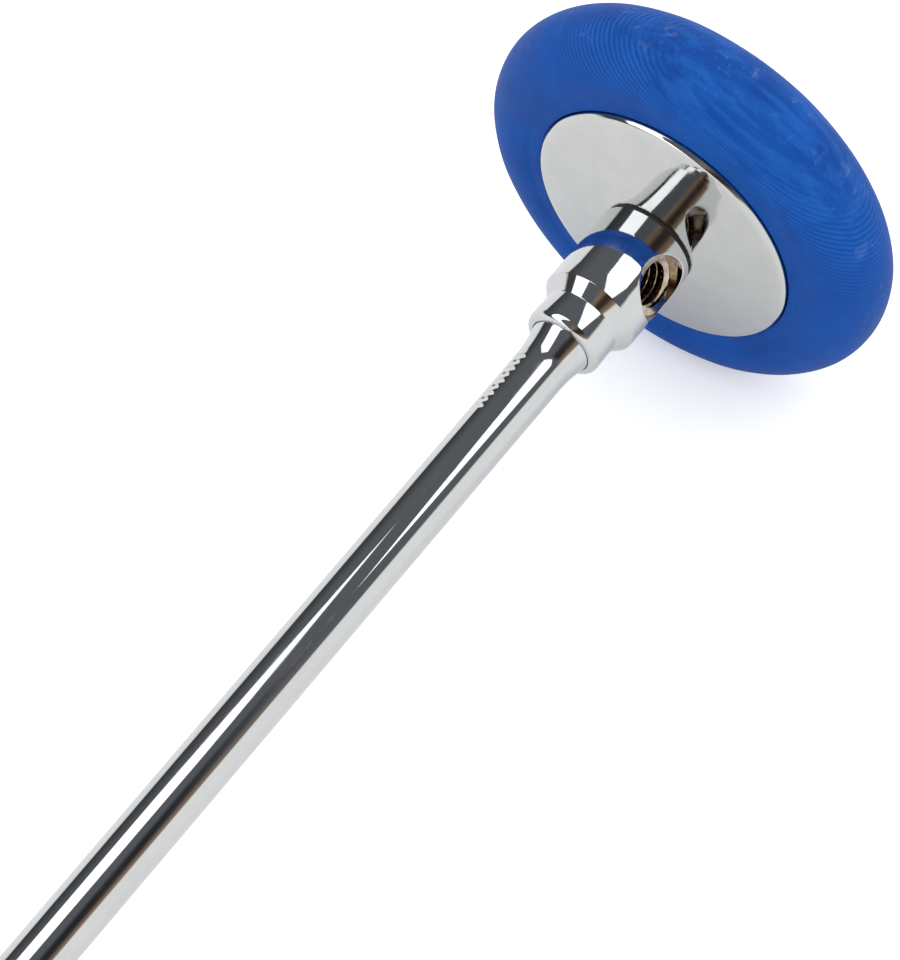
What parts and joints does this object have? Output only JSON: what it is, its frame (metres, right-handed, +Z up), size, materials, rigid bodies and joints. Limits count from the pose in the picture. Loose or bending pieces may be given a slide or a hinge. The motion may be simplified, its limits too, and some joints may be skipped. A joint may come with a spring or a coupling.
{
  "type": "reflex hammer",
  "caption": "Medical percussion hammer: a rubber ring clamped between two domed plates, a neck with in-line and crosswise threaded sockets, and a screw-in round handle with a blunt tapered tip.",
  "frame": {"origin": "middle of the bounding box in plan, on the ground that the ring and the handle's tip rest on", "axes": "+Z up, +X from the handle's tip towards the head; the hammer's own axis lies in the XZ plane, sloping down 6.32 degrees towards the tip"},
  "size_m": [0.2232, 0.05, 0.0498],
  "materials": {
    "polished_chrome": "mirror chrome plating",
    "plate_chrome": "polished, slightly soft reflections",
    "blue_rubber": "satin, fine mould grain",
    "hub_aluminium": "as turned",
    "black_washer": "matt",
    "white_nylon": "matt"
  },
  "bodies": {
    "head": {"striking_ring": "blue_rubber", "hub": "hub_aluminium", "back_plate": "plate_chrome", "front_plate": "plate_chrome", "clamp_nut": "polished_chrome", "neck_washer": "black_washer", "neck": "polished_chrome"},
    "washer": {"lock_washer": "white_nylon"},
    "handle": {"handle_rod": "polished_chrome"}
  },
  "joints": [
    {"name": "washer_slide", "type": "slide", "parent": "head", "child": "washer", "axis": [-0.9939, 0, -0.1101], "range_m": [0, 0.0055]},
    {"name": "handle_turn", "type": "hinge", "parent": "washer", "child": "handle", "pos_m": [0.07832, 0, 0.02229], "axis": [-0.9939, 0, -0.1101], "range_deg": [0, 1980]}
  ],
  "couplings": [
    {"joint": "handle_turn", "follows": "washer_slide", "rad_per_m": 6283.2}
  ]
}
